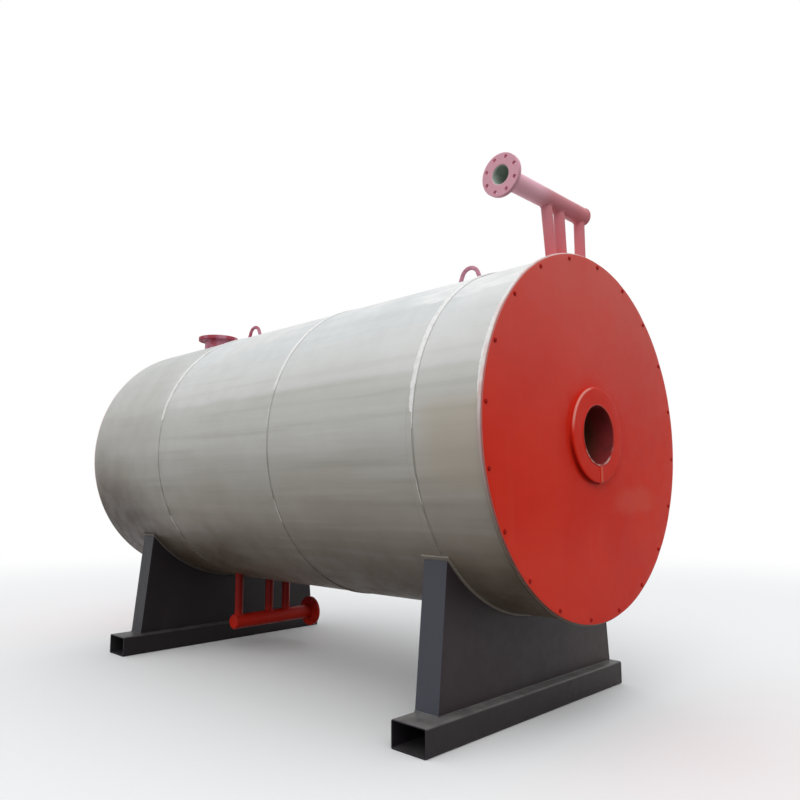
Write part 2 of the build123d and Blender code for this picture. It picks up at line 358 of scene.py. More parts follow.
# Runs: rain streaks that follow a stretched place, faint and broken up
runs, given, gives = new_group("rain_runs", {"Place": VECTOR, "Stretch": VECTOR}, {"Runs": VALUE})
drawn = stretched(runs, given.outputs["Place"], given.outputs["Stretch"])
threads = ramp(runs, noise(runs, drawn, 1.0, 5.0, 0.6), 0.50, 0.72)
broken = ramp(runs, noise(runs, given.outputs["Place"], 2.2, 2.0), 0.42, 0.60)
feed(runs, gives, {"Runs": times(runs, threads, broken)})

# Film: the dried skin of a paint coat, as a height for bump, with dust nibs in it
film, given, gives = new_group("paint_film", {"Place": VECTOR}, {"Height": VALUE})
peel = noise(film, given.outputs["Place"], 150.0, 2.0, 0.4)
nibs = ramp(film, noise(film, given.outputs["Place"], 620.0, 1.0), 0.66, 0.80)
feed(film, gives, {"Height": times(film, peel, times(film, nibs, 0.5), "ADD")})


def use(tree, group, inputs):
    """That node group, placed in a material."""
    node = tree.nodes.new("ShaderNodeGroup")
    node.node_tree = group
    feed(tree, node, inputs)
    return node.outputs


def new_finish(name, specular):
    """A material, its nodes and its shader, and the place on the object."""
    made = bpy.data.materials.new(name)
    made.use_nodes = True
    tree = made.node_tree
    shader = tree.nodes["Principled BSDF"]
    shader.inputs["Specular IOR Level"].default_value = specular
    return made, tree, shader, add(tree, "ShaderNodeTexCoord").outputs["Object"]


def coated(tree, shader, colour, roughness, height, distance, strength=1.0):
    """Give the shader its colour and roughness, and a normal that a height raises by metres."""
    raised = add(tree, "ShaderNodeBump", {"Height": height, "Distance": distance,
                                          "Strength": strength})
    feed(tree, shader, {"Base Color": colour, "Roughness": roughness,
                        "Normal": raised.outputs[0]})


def mottled(tree, spray, low, high):
    """A roughness that goes from low to high with the paint's fine mottle."""
    return ramp(tree, spray["Mottle"], 0.0, 1.0, low, high)


def skin(tree, place):
    """The height of the dried film of paint at a place."""
    return use(tree, film, {"Place": place})["Height"]


casing_paint, tree, shader, place = new_finish("casing_paint", specular=0.3)
plate = add(tree, "ShaderNodeTexCoord").outputs["UV"]
spray = use(tree, patches, {"Place": place, "Size": 1.1})
above, behind = coordinate(tree, place, "Z"), coordinate(tree, place, "Y")
# Paler towards the top: sun bleaching, with the light from the sky painted in. Duller and browner
# towards the bottom: road film, with painted shade.
uneven = times(tree, times(tree, spray["Clouds"], 0.16), above, "ADD")
colour = mix(tree, ramp(tree, uneven, axis_z + 0.15, axis_z + 1.05), off_white, pale_and_lit)
colour = laid(tree, colour, grime_and_shade, ramp(tree, uneven, axis_z + 0.20, axis_z - 0.60))
# Painted reflection: high up, patches take the cool blue of the sky that the satin paint reflects.
cool = ramp(tree, noise(tree, place, 0.8, 2.0), 0.45, 0.65, 0.1, 0.75)
high_up = ramp(tree, above, axis_z + 0.30, axis_z + 0.80)
colour = laid(tree, colour, painted_sky_blue, cool, high_up)
colour = laid(tree, colour, grey_and_shade, spray["Mottle"], 0.08)

# Rolling leaves flats along the plate, and lighter and darker strips painted along them stand for
# the light and shade that they catch, strongest low down.
# Along each side runs an uneven line, with a paler band above it, greyer paint below it, and a
# darker band further down.
side_line = casing_radius * 1.31
round_off = times(tree, coordinate(tree, plate, "X"), 0.0, "ABSOLUTE")
along = coordinate(tree, plate, "Y")
bands = noise(tree, stretched(tree, plate, (15.0, 0.55, 1.0)), 1.0, 4.0, 0.55)
low_side = ramp(tree, above, axis_z + 0.75, axis_z - 0.30, 0.10, 0.42)
colour = laid(tree, colour, grey_and_shade, ramp(tree, bands, 0.50, 0.66), low_side)
colour = laid(tree, colour, pale_and_lit, ramp(tree, bands, 0.47, 0.34), low_side, 0.45)
wavy = times(tree, round_off, times(tree, noise(tree, plate, 1.7, 4.0), 0.10), "ADD")
for tone, most, rise, fall in (
        (pale_and_lit, 0.30,
         (side_line - 0.42, side_line - 0.05), (side_line + 0.02, side_line - 0.03)),
        (grey_and_shade, 0.14,
         (side_line - 0.02, side_line + 0.02), (side_line + 0.60, side_line + 0.10)),
        (side_dark, 0.24, (1.60, 1.76), (2.10, 1.95))):
    colour = laid(tree, colour, tone, between(tree, wavy, rise, fall), most)
# Painted shade: the rear end of the casing is greyer.
colour = laid(tree, colour, grey_and_shade, ramp(tree, along, 0.85, 1.25, 0.0, 0.42))
handled = between(tree, round_off, (1.36, 1.50), (2.05, 1.70))
colour = laid(tree, colour, olive_brown, ramp(tree, along, -1.55, -1.80), handled, 0.55)

# Dust from the yard and painted shade darken the underside, reaching higher at the rear end, where
# nobody cleans and the shade is deeper; low at the rear a darker painted shade lies over them
raised = times(tree, above, ramp(tree, behind, 0.9, 2.0, 0.0, 0.44), "SUBTRACT")
settled = ramp(tree, noise(tree, place, 3.5, 5.0), 0.25, 0.70, 0.75, 1.0)
colour = laid(tree, colour, dust_and_shade, ramp(tree, raised, axis_z - 0.14, axis_z - 0.98), settled)
low_rear = ramp(tree, above, axis_z - 0.15, axis_z - 0.60)
colour = laid(tree, colour, rear_shade_dark, ramp(tree, behind, 1.0, 1.7), low_rear, 0.85)

# The crest at the burner end is brushed over with white down to a ragged edge, and there the white
# sheen of the sky on the satin paint is painted in too
brushed = noise(tree, stretched(tree, plate, (9.0, 2.4, 1.0)), 1.0, 5.0, 0.6)
ragged = times(tree, round_off, times(tree, brushed, 0.34), "ADD")
strokes = noise(tree, stretched(tree, plate, (17.0, 4.5, 1.0)), 1.0, 5.0, 0.6)
colour = laid(tree, colour, white_and_sheen, ramp(tree, ragged, 0.925, 0.875),
              ramp(tree, along, -1.15, -1.42), ramp(tree, strokes, 0.38, 0.62, 0.34, 0.86))
coated(tree, shader, colour, mottled(tree, spray, 0.36, 0.50), skin(tree, place), 0.0003, 0.5)

for number in range(1, 5):
    name = f"casing_course_{number}"
    low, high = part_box(name)
    sheet = course_sheet(f"{name}_sheet", low.y, high.y, number > 1, 40 + number)
    piece(sheet, casing_paint, "casing_paint", name)


# Flue hole: a round opening cut through the rear course's plate, as wide as the neck's bore.
# The neck stands round it on the plate. The hole's edge is bare of any frame or collar.
neck_middle, neck_half = measured("flue_neck")
neck_radius, neck_wall, flue_y = neck_half[0], 0.006, neck_middle[1]
crown = axis_z + casing_radius


def round_cutter(name, radius, y, low, high, count=96):
    """Upright closed cylinder, (r cos a, y + r sin a, z), with a pole at each end."""
    around = np.linspace(0, 2 * pi, count, endpoint=False)
    rows = [points_at(r * np.cos(around), y + r * np.sin(around), z)
            for r, z in ((0, low), (radius, low), (radius, high), (0, high))]
    made = bpy.data.objects.new(name, mesh_of(name, grid(np.stack(rows))))
    bpy.context.scene.collection.objects.link(made)
    return made


def cut(target, cutter):
    """Take the cutter's space out of the target's mesh, then throw the cutter away."""
    carve = target.modifiers.new("carve", "BOOLEAN")
    carve.operation, carve.solver, carve.object = "DIFFERENCE", "EXACT", cutter
    bpy.context.view_layer.update()
    carved = bpy.data.meshes.new_from_object(target.evaluated_get(
        bpy.context.evaluated_depsgraph_get()))
    target.modifiers.remove(carve)
    carved.name, old = target.data.name, target.data
    target.data = carved
    bpy.data.meshes.remove(old)
    bpy.data.objects.remove(cutter)


cut(bpy.data.objects["casing_course_4_sheet"],
    round_cutter("flue_hole", neck_radius - neck_wall, flue_y, crown - 0.15, crown + 0.10))


# Lap sealant: white paste brushed over the open edge of each lap, broad and ragged on the upper
# half and worn off below. The foot of the step holds a line of dirt and painted shadow all the way
# round.
sealant_steps, sealant_build, sealant_foot = 1440, 0.0014, 0.0022
sealant_white, sealant_worn = (0.93, 0.93, 0.92, 1), (0.74, 0.74, 0.71, 1)
lap_dirt_and_shadow, lap_shade = (0.40, 0.385, 0.35, 1), (0.31, 0.29, 0.255, 1)
painted_in = (0.60, 0.62, 0.62, 1)

# Each lap's course, the turn where its sealant ends, how broad that is, and how broad the line of
# dirt and shadow
laps = ((2, 1.67, 0.031, 0.0050), (3, 1.42, 0.025, 0.0042), (4, 1.50, 0.034, 0.0018))


def bead(path, outward, size, sides=8, closed=True, flat=0.75):
    """Rod laid along a path: path + size (cos a * outward * flat + sin a * sideways), where
    sideways is square to the path and to outward. An open rod ends in a point."""
    if closed:
        forward = np.roll(path, -1, 0) - np.roll(path, 1, 0)
    else:
        forward = np.gradient(path, axis=0)
    forward = forward / np.linalg.norm(forward, axis=1, keepdims=True)
    outward = outward - (outward * forward).sum(1, keepdims=True) * forward
    outward = outward / np.linalg.norm(outward, axis=1, keepdims=True)
    sideways = np.cross(forward, outward)
    a = np.linspace(0, 2 * pi, sides, endpoint=False)[None, :, None]
    spokes = flat * np.cos(a) * outward[:, None] + np.sin(a) * sideways[:, None]
    rows = path[:, None] + np.broadcast_to(size, len(path))[:, None, None] * spokes
    if not closed:
        tips = np.repeat(path[[0, -1], None], sides, 1)
        rows = np.concatenate([tips[:1], rows, tips[1:]])
    return grid(rows, closed_rows=closed)


def wander(seed, periods):
    """Closed random line round the casing: a sum of sines with shares 1 / sqrt(k)."""
    draw = np.random.default_rng(seed)
    t = np.linspace(0, 2 * pi, sealant_steps, endpoint=False)
    return sum(draw.uniform(0.4, 1) / sqrt(k) * np.sin(k * t + draw.uniform(0, 2 * pi))
               for k in periods)


def brushed_band(turn, top, edge, width, build, under, left_over):
    """Closed skin over a plate's edge, on the radius top: its section climbs the edge, rounds
    the corner and thins out at edge + width(turn), and comes back under the skin. Where nothing
    is left over it lies inside the plate."""
    lip = 0.0012 - 0.0031 * left_over
    stations = [(lip + 0.0003, -plate_wall * 0.9), (lip, -plate_wall * 0.35),
                (lip + 0.0007, 0.5 * build), (0.0012, build), (0.35 * width, 0.9 * build),
                (0.75 * width, 0.7 * build), (width, 0.15 * build), (1.06 * width, -under),
                (0.5 * width, -under), (0.001, -plate_wall * 0.9)]
    rows = [on_casing(turn, top + rise, edge + shift) for shift, rise in stations]
    return grid(np.stack(rows), closed_rows=True)


sealant, tree, shader, place = new_finish("lap_sealant", specular=0.3)
worn = ramp(tree, noise(tree, place, 26.0, 5.0, 0.65), 0.45, 0.70, 0.0, 0.7)
coated(tree, shader, mix(tree, worn, sealant_white, sealant_worn), 0.55,
       noise(tree, place, 200.0, 4.0), 0.0010)

# Dirt and painted shadow at the foot of each step, fading towards the casing's colour on the upper
# half.
lap_grime_and_shadow, tree, shader, place = new_finish("lap_grime_and_shadow", specular=0.15)
colour = mix(tree, ramp(tree, noise(tree, place, 18.0, 5.0), 0.35, 0.65), lap_dirt_and_shadow, lap_shade)
upper = ramp(tree, coordinate(tree, place, "Z"), axis_z - 0.25, axis_z + 0.35, 0.0, 0.65)
coated(tree, shader, laid(tree, colour, painted_in, upper), 0.8,
       noise(tree, place, 260.0, 3.0), 0.0006)

turn = np.linspace(-pi, pi, sealant_steps, endpoint=False)
outward = points_at(np.sin(turn), 0.0, np.cos(turn))
for number, ends_at, broad, line_broad in laps:
    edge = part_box(f"casing_course_{number}")[0].y
    left_over = (ends_at - np.abs(turn)) / 0.35 + 0.4 * wander(number, range(5, 60, 6))
    left_over = np.clip(left_over, 0, 1)
    ragged = 1 + 0.20 * wander(number + 4, range(9, 260, 11))
    width = broad * np.clip(ragged, 0.35, 1.6) * (0.35 + 0.65 * left_over)
    build = sealant_build * left_over * np.clip(ragged, 0.5, 1.5) - 0.0012 * (1 - left_over)
    band = brushed_band(turn, casing_radius + lap_room + plate_wall, edge, width, build,
                        sealant_foot, left_over)
    piece(mesh_of(f"lap_sealant_{number - 1}", band, sharp=80.0), sealant, "casing_paint")
    thick = line_broad * (0.9 - 0.3 * np.cos(turn)) * (1 + 0.25 * wander(number, range(7, 60, 4)))
    away = casing_radius - 0.0004 + 0.0004 * wander(number + 9, range(3, 40, 5))
    shift = edge - 0.0034 + 0.0009 * wander(number + 5, range(4, 90, 7))
    dirt_and_shadow_line = bead(on_casing(turn, away, shift), outward, np.clip(thick, 0.0012, 0.0075),
                     sides=6, flat=0.55)
    piece(mesh_of(f"lap_dirt_and_shadow_{number - 1}", dirt_and_shadow_line, sharp=80.0), lap_grime_and_shadow, "casing_paint")


# The same paste has been smeared behind the front ring on the upper half, thickest at the sides
smear_turn, smear_spread, smear_end, smear_fade, smear_broad = 1.14, 0.38, 1.48, 0.07, 0.027
side_on = np.exp(-((np.abs(turn) - smear_turn) / smear_spread) ** 2)
side_on = side_on * np.clip((smear_end - np.abs(turn)) / smear_fade, 0, 1)
left_over = np.clip(side_on * (1.25 + 0.22 * wander(51, range(5, 70, 6))), 0, 1)
ragged = 1 + 0.22 * wander(52, range(9, 260, 11))
width = smear_broad * np.clip(ragged, 0.3, 1.5) * (0.3 + 0.7 * left_over)
build = 0.0016 * left_over - 0.0022 * (1 - left_over)
smear = brushed_band(turn, casing_radius + 0.0004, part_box("casing_course_1")[0].y, width, build,
                     0.0026, left_over)
piece(mesh_of("ring_smear", smear, sharp=80.0), sealant, "casing_paint")


# Angle rings: rolled angle welded inside each end of the casing, its flat leg standing out
# past the plate. It is brush-painted with the casing, so its rim is creamy and ragged.
rim_white, rim_pink = (0.88, 0.86, 0.84, 1), (0.80, 0.52, 0.48, 1)
rim_lower, rim_lowest = (0.56, 0.42, 0.41, 1), (0.33, 0.29, 0.25, 1)
ring_turns, angle_edge, along_y = 360, 0.0018, (0, 1, 0)
angle_wall, angle_leg, angle_collar, collar_wall = 0.014, 0.078, 0.060, 0.006


def softened(corners, radius, steps=4):
    """Closed outline with rounded corners. Each corner B becomes the curve
    (1-t)^2 A + 2 t (1-t) B + t^2 C, where A and C lie a radius away along its two sides."""
    corners = np.asarray(corners, float)
    before, after = np.roll(corners, 1, 0) - corners, np.roll(corners, -1, 0) - corners
    reach = np.broadcast_to(radius, len(corners))[:, None]
    near = corners + before / np.linalg.norm(before, axis=1, keepdims=True) * reach
    past = corners + after / np.linalg.norm(after, axis=1, keepdims=True) * reach
    t = np.linspace(0, 1, steps + 1)[None, :, None]
    curve = ((1 - t) ** 2 * near[:, None] + 2 * t * (1 - t) * corners[:, None]
             + t ** 2 * past[:, None])
    return curve.reshape(-1, 2)


def square_to(axis):
    """An axis as an array, and two directions that are square to it and to each other."""
    axis = np.asarray(axis, float)
    first = np.cross(axis, (0.0, 0.0, 1.0)) if abs(axis[2]) < 0.9 else np.array((1.0, 0.0, 0.0))
    return axis, first, np.cross(axis, first)


def turned(outline, centre, axis, count, closed=True):
    """Outline of (place along the axis, radius) turned about it: centre + s axis +
    r (cos a * first + sin a * second), where first and second are square to the axis."""
    axis, first, second = square_to(axis)
    a = np.linspace(0, 2 * pi, count, endpoint=False)[None, :, None]
    s, r = outline[:, :1, None], outline[:, 1:, None]
    return grid(np.asarray(centre) + s * axis + r * (np.cos(a) * first + np.sin(a) * second),
                closed_rows=closed)


ring_paint, tree, shader, place = new_finish("ring_paint", specular=0.3)
spray = use(tree, patches, {"Place": place, "Size": 7.0})
above = coordinate(tree, place, "Z")
colour = mix(tree, times(tree, spray["Clouds"], 0.75), rim_white, rim_pink)
# The rim grows darker towards the bottom in steps, darkest and brownest lowest down.
for tone, high, low, most in ((rim_lower, 0.24, -0.08, 1.0), (rim_lowest, 0.05, -0.50, 1.0),
                              (dust_and_shade, -0.2, -0.8, 0.9)):
    colour = laid(tree, colour, tone, ramp(tree, above, axis_z + high, axis_z + low, 0.0, most))
coated(tree, shader, colour, mottled(tree, spray, 0.35, 0.55),
       noise(tree, place, 90.0, 5.0), 0.0008)

for end, inward in (("front", 1), ("rear", -1)):
    middle, half = measured(f"{end}_angle_ring")
    face, outer = middle[1] - inward * half[1], half[0]
    back = face + inward * angle_wall
    fold = back + inward * angle_collar
    collar = casing_radius - plate_wall - lap_room
    outline = softened([(face, outer - angle_leg), (face, outer), (back, outer), (back, collar),
                        (fold, collar), (fold, collar - collar_wall),
                        (back, collar - collar_wall), (back, outer - angle_leg)], angle_edge)
    ring = mesh_of(f"{end}_angle_ring_turned", turned(outline, axis_centre, along_y, ring_turns))
    piece(ring, ring_paint, "casing_paint", f"{end}_angle_ring")


# End covers: 10 mm plate discs, bolted all round to the angle rings. Red enamel, chalked
# pale towards the top, pulled in a little at each screw. The cut edge is bare of red and dark.
screw_count, screw_phase, screw_inset = 20, radians(12.0), 0.025
cover_turns, cover_rings, cover_edge, edge_steps = 480, 36, 0.0012, 4
dimple_depth, dimple_reach, cover_waves = 0.0010, 0.05, {2: 0.0005, 3: 0.0005, 5: 0.0003}
red, deep_red = (0.75, 0.034, 0.014, 1), (0.70, 0.026, 0.011, 1)
chalk_red, smear_pink = (0.73, 0.135, 0.112, 1), (0.74, 0.098, 0.064, 1)
cut_edge = (0.50, 0.19, 0.18, 1)
port_low, port_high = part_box("burner_sleeve")
sleeve_radius = (port_high.x - port_low.x) / 2
cover_wall = 2 * measured("front_cover")[1][1]

# Each cover's name, the way it faces along Y, the place of its outer face, and its radius
covers = []
for end, outward in (("front", -1), ("rear", 1)):
    middle, half = measured(f"{end}_cover")
    covers.append((end, outward, middle[1] + outward * half[1], half[0]))


def cover_disc(name, face, outward, radius, hole):
    """Disc about the casing's axis, its outer face at y = face: rings of radius from the hole,
    or from a pole, to the rim, pulled in by a bell-shaped dimple at each screw, and waved."""
    turn = np.linspace(0, 2 * pi, cover_turns, endpoint=False)[None, :]
    bend = np.linspace(0, pi / 2, edge_steps + 1)[1:, None]
    flat = radius - cover_edge
    out = np.concatenate([np.linspace(hole, flat, cover_rings)[:, None],
                          flat + cover_edge * np.sin(bend)])
    depth = np.concatenate([np.zeros((cover_rings, 1)), cover_edge * (1 - np.cos(bend))])
    off = (turn - screw_phase + pi / screw_count) % (2 * pi / screw_count) - pi / screw_count
    screw_circle = radius - screw_inset
    gap = np.hypot(out - screw_circle, off * screw_circle)
    dish = dimple_depth * np.exp(-(gap / dimple_reach) ** 2) + waves(turn, out, cover_waves, 7)
    dish = dish * np.clip((out - hole) / 0.2, 0, 1)
    y = face - outward * (depth + np.maximum(dish, 0))
    x, z = out * np.cos(turn), axis_z + out * np.sin(turn)
    back = points_at(x, face - outward * cover_wall, z)[[-1, 0]]
    return mesh_of(name, grid(np.concatenate([points_at(x, y, z), back]), closed_rows=True))


def off_centre(tree, place, centre, reach=(1.0, 0.0, 1.0)):
    """Distance of a place from a centre, in shares of a reach along each axis."""
    off = add(tree, "ShaderNodeVectorMath", {0: place, 1: centre}, operation="SUBTRACT")
    off = stretched(tree, off.outputs[0], tuple(1 / r if r else 0.0 for r in reach))
    return add(tree, "ShaderNodeVectorMath", {0: off}, operation="LENGTH").outputs["Value"]


def red_enamel(name, chalk_from, chalk_to, chalk_most, chalk=chalk_red, specular=0.05):
    """Red enamel that is chalked by the weather from one height above the ground to another."""
    made, tree, shader, place = new_finish(name, specular)
    spray = use(tree, patches, {"Place": place, "Size": 1.6})
    colour = mix(tree, spray["Clouds"], red, deep_red)
    clouded = ramp(tree, noise(tree, place, 2.3, 4.0), 0.2, 0.7, 0.7 * chalk_most, chalk_most)
    high_up = ramp(tree, coordinate(tree, place, "Z"), chalk_from, chalk_to)
    colour = laid(tree, colour, chalk, high_up, clouded)
    streaks = use(tree, runs, {"Place": place, "Stretch": (24.0, 24.0, 1.3)})["Runs"]
    colour = laid(tree, colour, chalk, streaks, 0.07)
    coated(tree, shader, colour, mottled(tree, spray, 0.28, 0.42), skin(tree, place), 0.0003, 0.4)
    return made, tree, shader, place, colour


cover_paint, tree, shader, place, colour = red_enamel("cover_paint", 1.3, 2.6, 0.80)
smear = off_centre(tree, place, (0.44, 0.0, 1.17), (0.36, 0.0, 0.090))
ragged = times(tree, smear, times(tree, noise(tree, place, 7.0, 5.0), 1.2), "ADD")
behind = coordinate(tree, place, "Y")
burner_end = ramp(tree, behind, 1.0, -1.0)
colour = laid(tree, colour, smear_pink, burner_end, ramp(tree, ragged, 1.8, 1.0, 0.0, 0.45))
handled = times(tree, off_centre(tree, place, (0.02, 0.0, axis_z - 0.09)),
                times(tree, noise(tree, place, 3.5, 4.0), 0.45), "ADD")
colour = laid(tree, colour, deep_red, burner_end, ramp(tree, handled, 0.66, 0.50, 0.0, 0.85))
low_down = ramp(tree, coordinate(tree, place, "Z"), 1.20, 0.80, 0.0, 0.12)
colour = laid(tree, colour, chalk_red, low_down)
rim = off_centre(tree, place, axis_centre)
for end, outward, face, radius in covers:
    colour = laid(tree, colour, cut_edge, ramp(tree, rim, radius - cover_edge, radius - 0.0003),
                  ramp(tree, behind, 1.0 * outward, 1.5 * outward))
feed(tree, shader, {"Base Color": colour})

for end, outward, face, radius in covers:
    hole = sleeve_radius + lap_room if end == "front" else 0.0
    piece(cover_disc(f"{end}_cover_disc", face, outward, radius, hole), cover_paint,
          "cover_paint", f"{end}_cover")


# Cover screws: low hexagon heads on flat washers at the burner end, countersunk socket screws
# in the rear cover, all brushed over with the cover's red, darker from dirt and from the small
# heads' shade painted in.
washer_radius, washer_wall, head_flats, head_height = 0.0120, 0.0015, 0.0170, 0.0042
socket_radius, socket_depth, sunk_radius, sunk_depth = 0.0042, 0.0026, 0.0095, 0.0050
screw_red, screw_dark = (0.46, 0.014, 0.011, 1), (0.38, 0.010, 0.008, 1)
head_turns = np.linspace(0, 2 * pi, 24, endpoint=False)


def head_of(steps, x, z, face, outward):
    """Closed head on an axis along Y: rows (x + r(a) cos a, face + outward h, z + r(a) sin a)."""
    a = head_turns
    return grid(np.stack([points_at(x + r * np.cos(a), face + outward * h, z + r * np.sin(a))
                          for r, h in steps]))


def hexagon(tilt, flats):
    """Radius at angle a of a hexagon: (flats / 2) / cos((a mod 60) - 30)."""
    return flats / 2 / np.cos((head_turns + tilt) % (pi / 3) - pi / 6)


def raised_head(x, z, face, outward, tilt):
    """Washer let into the dimple, and a hexagon head with a chamfered top."""
    six, sunk = hexagon(tilt, head_flats), -0.0012
    top = washer_wall + head_height
    return head_of([(0, sunk), (washer_radius, sunk), (washer_radius, 0.5 * washer_wall),
                    (washer_radius * 0.93, 0.8 * washer_wall), (six, 0.8 * washer_wall),
                    (six, 0.8 * top), (np.minimum(six, head_flats / 2) * 0.94, top), (0, top)],
                   x, z, face, outward)


def sunk_head(x, z, face, outward, tilt):
    """Flat head level with the plate round its dimple, with a hexagon socket in it."""
    six = hexagon(tilt, socket_radius * 2)
    return head_of([(0, -sunk_depth), (sunk_radius, -sunk_depth), (sunk_radius, -0.0006),
                    (sunk_radius * 0.94, -0.0002), (six, -0.0002), (six * 0.96, -socket_depth),
                    (0, -socket_depth)], x, z, face, outward)


screw_paint, tree, shader, place = new_finish("screw_paint", specular=0.08)
colour = mix(tree, ramp(tree, noise(tree, place, 45.0, 4.0), 0.35, 0.65), screw_red, screw_dark)
coated(tree, shader, colour, 0.5, noise(tree, place, 300.0, 3.0), 0.0004)
draw = np.random.default_rng(3)
for (end, outward, face, radius), screw in zip(covers, (raised_head, sunk_head)):
    circle = radius - screw_inset
    heads = [screw(circle * cos(angle), axis_z + circle * sin(angle), face, outward,
                   draw.uniform(0, pi / 3))
             for angle in screw_phase + 2 * pi / screw_count * np.arange(screw_count)]
    piece(mesh_of(f"{end}_cover_screws", *heads), screw_paint, "cover_paint")


# Burner port: a thick welded ring on the cover, bent from bar with its butt joint at the
# bottom, and a steel sleeve through it whose lip stands proud and has lost its paint at the bottom,
# where its pale grey is also a painted highlight.
ring_low, ring_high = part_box("burner_ring")
port_ring_radius = (ring_high.x - ring_low.x) / 2
sleeve_wall = 0.008
port_turns, joint_x = 240, 0.004
lip_grey_lit, lip_red = (0.62, 0.38, 0.34, 1), (0.42, 0.030, 0.020, 1)
ground_patch, highlight_pink = (0.76, 0.14, 0.085, 1), (0.82, 0.29, 0.24, 1)
scorched, soot = (0.24, 0.024, 0.026, 1), (0.055, 0.018, 0.016, 1)
brown_soot, shaded_red = (0.110, 0.048, 0.022, 1), (0.34, 0.009, 0.006, 1)

outline = softened([(ring_low.y, sleeve_radius + lap_room), (ring_low.y, port_ring_radius),
                    (ring_high.y, port_ring_radius), (ring_high.y, sleeve_radius + lap_room)],
                   [0.0015, 0.010, 0.001, 0.001], 6)
ring = mesh_of("burner_ring_turned", turned(outline, axis_centre, along_y, port_turns), sharp=50.0)
port_paint, tree, shader, place, colour = red_enamel("port_paint", 1.9, 2.6, 0.3)
across, behind, above = (coordinate(tree, place, axis) for axis in "XYZ")
# Painted highlight: the rounded outer edge is pale pink up and to the left, where it would catch
# the light. Painted shade: the side wall is darker red, most on its lower half.
at_round = ramp(tree, off_centre(tree, place, axis_centre), port_ring_radius - 0.0140,
                port_ring_radius - 0.0080)
at_face = ramp(tree, behind, ring_low.y + 0.011, ring_low.y + 0.007)
at_wall = ramp(tree, behind, ring_low.y + 0.004, ring_low.y + 0.009)
arm = add(tree, "ShaderNodeVectorMath", {0: place, 1: axis_centre}, operation="SUBTRACT")
toward = add(tree, "ShaderNodeVectorMath", {0: arm.outputs[0], 1: (-0.75, 0.0, 0.66)},
             operation="DOT_PRODUCT").outputs["Value"]
toward = times(tree, toward, times(tree, noise(tree, place, 12.0, 3.0), 0.04), "ADD")
colour = laid(tree, colour, highlight_pink, at_round, at_face, ramp(tree, toward, 0.205, 0.26), 0.95)
colour = laid(tree, colour, shaded_red, at_wall,
              ramp(tree, above, axis_z + 0.02, axis_z - 0.10, 0.3, 0.85))

# Beside the joint the filler has been ground off and painted over in a lighter coat
beside = between(tree, across, (0.004, 0.006), (0.040, 0.026))
colour = laid(tree, colour, ground_patch, beside,
              ramp(tree, above, axis_z - 0.15, axis_z - 0.18), 0.75)
feed(tree, shader, {"Base Color": colour})
piece(ring, port_paint, "cover_paint", "burner_ring")

sleeve_in = sleeve_radius - sleeve_wall
outline = softened([(port_low.y, sleeve_radius), (port_high.y, sleeve_radius),
                    (port_high.y, sleeve_in), (port_low.y, sleeve_in)],
                   [0.0028, 0.001, 0.001, 0.0028], 5)
sleeve = mesh_of("burner_sleeve_turned", turned(outline, axis_centre, along_y, port_turns),
                 sharp=60.0)
sleeve_steel, tree, shader, place = new_finish("sleeve_steel", specular=0.25)
inside = coordinate(tree, place, "Y")
# The lip's grey shows only on its lower part: bare steel there, lightened as a painted highlight.
worn = mix(tree, ramp(tree, noise(tree, place, 22.0, 5.0), 0.4, 0.6), lip_grey_lit, lip_red)
upper = times(tree, coordinate(tree, place, "Z"),
              times(tree, noise(tree, place, 14.0, 3.0), 0.05), "ADD")
worn = mix(tree, ramp(tree, upper, axis_z - 0.085, axis_z - 0.02), worn, lip_red)
deep = ramp(tree, inside, port_low.y + 0.004, port_low.y + 0.010)
burnt = mix(tree, ramp(tree, inside, port_low.y + 0.05, port_low.y + 0.22), scorched, brown_soot)
burnt = mix(tree, ramp(tree, noise(tree, place, 14.0, 5.0), 0.45, 0.7, 0.0, 0.4), burnt, soot)
coated(tree, shader, mix(tree, deep, worn, burnt), 0.55, noise(tree, place, 160.0, 5.0), 0.0010)
piece(sleeve, sleeve_steel, "sleeve_steel", "burner_sleeve")


# Welds: beads of steel laid by hand along each seam that shows, in overlapping scales.
# Each is painted with the piece that it holds, so it takes that piece's finish.
scale_pitch = 0.0042


def scaled(count, length, size, seed):
    """Size along a bead: scales (1 + 0.10 |sin(pi s / pitch)|) and a slow random waver."""
    s = np.linspace(0, length, count)
    draw = np.random.default_rng(seed)
    slow = sum(draw.uniform(0.3, 1) * np.sin(2 * pi * s / length * k + draw.uniform(0, 6))
               for k in (2, 3, 5, 8))
    return size * (0.95 + 0.13 * np.abs(np.sin(pi * s / scale_pitch)) + 0.05 * slow)


def weld(path, outward, size, seed, closed=True):
    """A bead of scales laid along a path, evenly divided to three points a scale. Its outward
    is one direction, or one for each point of the path."""
    path = np.asarray(path, float)
    outward = np.broadcast_to(np.asarray(outward, float), path.shape)
    if closed:
        path, outward = np.vstack([path, path[:1]]), np.vstack([outward, outward[:1]])
    steps = np.linalg.norm(np.diff(path, axis=0), axis=1)
    walked = np.concatenate([[0], np.cumsum(steps)])
    count = max(12, int(walked[-1] / scale_pitch * 3))
    t = np.linspace(0, walked[-1], count + 1)
    path = np.stack([np.interp(t, walked, path[:, k]) for k in range(3)], -1)
    outward = np.stack([np.interp(t, walked, outward[:, k]) for k in range(3)], -1)
    size = scaled(count + 1, walked[-1], size, seed)
    if closed:
        path, outward, size = path[:-1], outward[:-1], size[:-1]
    return bead(path, outward, size, sides=6, closed=closed)


def hoop(centre, axis, radius, count=120):
    """Points centre + r (cos a * first + sin a * second), and the directions that they face."""
    _, first, second = square_to(axis)
    a = np.linspace(0, 2 * pi, count, endpoint=False)[:, None]
    facing = np.cos(a) * first + np.sin(a) * second
    return np.asarray(centre) + radius * facing, facing


